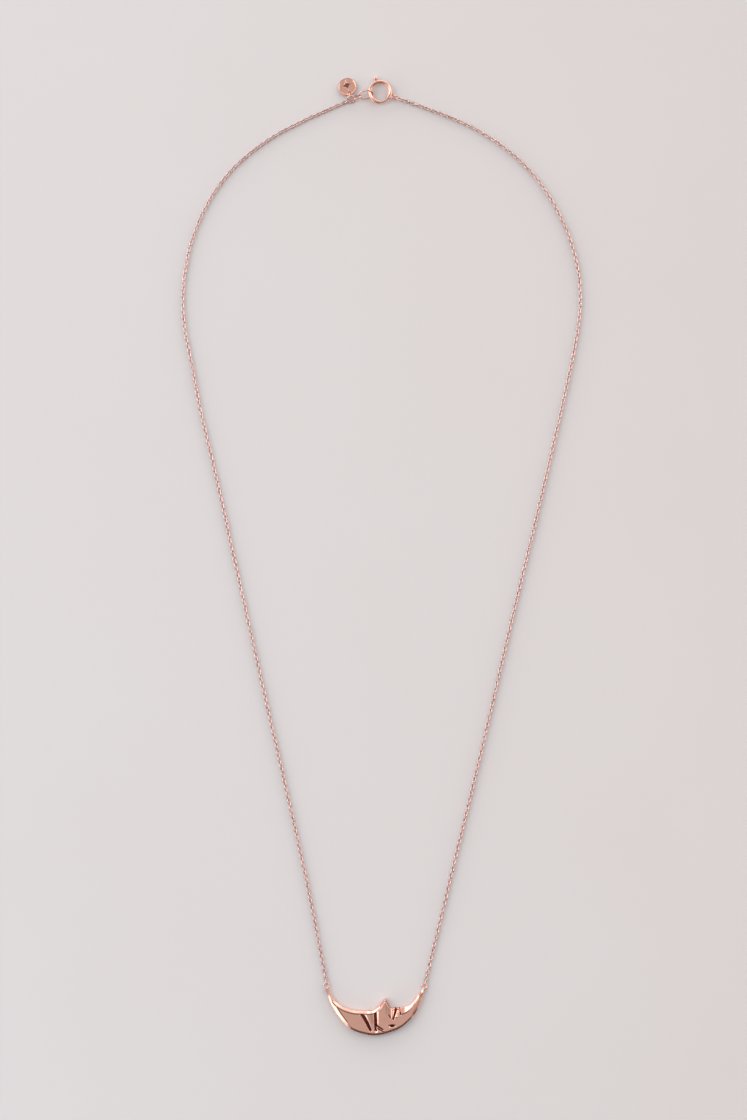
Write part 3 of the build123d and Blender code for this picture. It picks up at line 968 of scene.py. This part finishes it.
def bolt_knob(centre):
    """The turned knob: a stem, a small collar and a ball with a dimple in its top."""
    foot = BOLT_DIAMETER / 4
    ball = CLASP_TUBE / 2 + 0.05 + KNOB_DIAMETER / 2
    half = KNOB_DIAMETER / 2
    profile = [(0.0, foot), (0.12, foot), (0.12, ball - half * 1.02), (0.20, ball - half * 0.93)]
    turns = [radians(turn) for turn in range(-60, 76, 9)]
    profile += [(half * cos(turn), ball + half * sin(turn)) for turn in turns]
    profile += [(0.10, ball + half * 0.90), (0.0, ball + half * 0.80)]
    bm = bmesh.new()
    verts = [bm.verts.new((reach * MM, 0.0, height * MM)) for reach, height in profile]
    edges = [bm.edges.new(pair) for pair in zip(verts, verts[1:])]
    bmesh.ops.spin(bm, geom=verts + edges, cent=(0, 0, 0), axis=(0, 0, 1), angle=tau, steps=28,
                   use_merge=True)
    outward = on_clasp(KNOB_ANGLE, 1.0).normalized()
    turn = outward.to_track_quat("Z", "Y").to_matrix().to_4x4()
    bm.transform(Matrix.Translation(centre + on_clasp(KNOB_ANGLE, CLASP_RADIUS)) @ turn)
    piece = finished("knob", bm, material_named("clasp_gold"))
    dress(piece, "bolt", "clasp_gold", "bolt_knob")


class NECKLACE_OT_clasp(bpy.types.Operator):
    """Assemble the spring ring clasp from its shell, tail, bolt, knob and spring"""

    bl_idname = "necklace.clasp"
    bl_label = "Spring ring clasp"

    def execute(self, context):
        centre = Vector(joint("bolt_draw")["pos_m"])
        clasp_shell(centre)
        clasp_tail(centre)
        clasp_bolt(centre)
        bolt_knob(centre)
        spring = frame["nodes"]["clasp_spring"]
        for slot in spring.material_slots:
            slot.material = material_named("spring_steel")
        return {"FINISHED"}


# ------------------------------------------------------------------ the tag
TAG_RADIUS = 1.97
TAG_THICKNESS = 0.32
TAG_HOLE_OFFSET = 1.50
TAG_HOLE_RADIUS = 0.26
TAG_STAR = 1.45


def tag_face(x, y, from_edge, from_hole):
    """How far the tag's front stands off its flat, and how much painted shade it gets, at a point."""
    rim = 1 - ease(from_edge, 0.14, 0.26)
    lip = 1 - ease(from_hole, 0.05, 0.14)
    star_x, star_y = abs(x + 0.32), abs(y)
    reach = (sqrt(star_x) + sqrt(star_y)) ** 2
    star = 1 - ease(reach, TAG_STAR - 0.12, TAG_STAR)
    dish = -0.05 * (1 - ease(from_edge, 0.3, 1.6))
    height = 0.045 * max(rim, lip) - 0.055 * star + dish * 0.4
    height -= 0.05 * (1 - ease(from_edge, 0.0, 0.08)) + 0.04 * (1 - ease(from_hole, 0.0, 0.05))
    # Painted shade in the sunken star, along the rim and round the hole.
    painted_shade_level = max(0.8 * star, 0.3 * rim, 0.5 * lip)
    return height + 0.006 * noise.noise(Vector((x * 1.7, y * 1.7, 5.0))), painted_shade_level


def tag_point(u, v):
    """A point of the tag's skin in its own plane: round it by u, and round its section by v."""
    turn = tau * u
    hole_x = TAG_HOLE_OFFSET + TAG_HOLE_RADIUS * cos(turn)
    hole_y = TAG_HOLE_RADIUS * sin(turn)
    edge_x, edge_y = TAG_RADIUS * cos(turn), TAG_RADIUS * sin(turn)
    front, edge, back = 0.66, 0.76, 0.92
    half = TAG_THICKNESS / 2 - 0.045
    if v <= front:
        share = v / front
    elif v <= edge:
        share = 1.0
    elif v <= back:
        share = 1 - (v - edge) / (back - edge)
    else:
        share = 0.0
    x = hole_x + (edge_x - hole_x) * share
    y = hole_y + (edge_y - hole_y) * share
    from_edge = TAG_RADIUS - hypot(x, y)
    from_hole = hypot(x - TAG_HOLE_OFFSET, y) - TAG_HOLE_RADIUS
    lift, painted_shade = tag_face(x, y, from_edge, from_hole)
    if v <= front:
        z = half + lift
    elif v <= edge:
        down = (v - front) / (edge - front)
        z = (half + lift) * (1 - down) - half * down
    elif v <= back:
        z, painted_shade = -half - 0.02 * ease(min(from_edge, from_hole), 0.0, 0.06), 0.0
    else:
        up = (v - back) / (1 - back)
        z = -half * (1 - up) + (half + lift) * up
    return Vector((x, y, z)) * MM, painted_shade


class NECKLACE_OT_tag(bpy.types.Operator):
    """Strike the round tag with a plain star and hang it on its ring"""

    bl_idname = "necklace.tag"
    bl_label = "Tag"

    def execute(self, context):
        hole, normal = joint_line("tag_swing")
        low, high = (Vector(corner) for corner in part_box("tag_disc"))
        middle = (low + high) / 2
        toward_hole = hole - middle
        toward_hole = (toward_hole - normal * toward_hole.dot(normal)).normalized()
        bm = bmesh.new()
        bmesh.ops.create_grid(bm, x_segments=128, y_segments=84, size=0.5)
        layer = bm.verts.layers.float.new("painted_shade")
        for vert in bm.verts:
            vert.co, vert[layer] = tag_point(vert.co.x + 0.5, vert.co.y + 0.5)
        turn = Matrix((toward_hole, normal.cross(toward_hole), normal)).transposed().to_4x4()
        bm.transform(Matrix.Translation(middle) @ turn)
        piece = finished("tag", bm, material_named("tag_gold"))
        dress(piece, "tag", "tag_gold", "tag_disc")
        reach = Vector((0.02, -1.34, 0.50)) * MM
        wire = RING_WIRE["tag_ring"] * MM
        ring = wire_ring("tag_ring_wire", hole, reach.normalized(), reach.length, reach.length + wire, wire,
                         90, material_named("rose_gold_wire"), 48, 16)
        dress(ring, "tag_ring", "rose_gold_wire", "tag_ring")
        return {"FINISHED"}


# ------------------------------------------------------------------ the panel
class NECKLACE_PT_panel(bpy.types.Panel):
    """The necklace's pieces and settings"""

    bl_label = "Necklace"
    bl_space_type = "VIEW_3D"
    bl_region_type = "UI"
    bl_category = "Necklace"

    def draw(self, context):
        for operator in OPERATORS:
            self.layout.operator(operator.bl_idname)
        for name in NecklaceSettings.__annotations__:
            self.layout.prop(context.scene.necklace, name)


OPERATORS = (NECKLACE_OT_stage, NECKLACE_OT_chain, NECKLACE_OT_moon, NECKLACE_OT_rings, NECKLACE_OT_clasp,
             NECKLACE_OT_tag)
CLASSES = (NecklaceSettings, *OPERATORS, NECKLACE_PT_panel)


def register():
    """Register the necklace's classes and settings."""
    for cls in CLASSES:
        bpy.utils.register_class(cls)
    bpy.types.Scene.necklace = PointerProperty(type=NecklaceSettings)


def unregister():
    """Take the classes and settings away again."""
    del bpy.types.Scene.necklace
    for cls in reversed(CLASSES):
        bpy.utils.unregister_class(cls)


def main():
    """Make the stage and every piece."""
    register()
    bpy.ops.necklace.stage()
    bpy.ops.necklace.chain()
    bpy.ops.necklace.moon()
    bpy.ops.necklace.rings()
    bpy.ops.necklace.clasp()
    bpy.ops.necklace.tag()


if __name__ == "__main__":
    main()
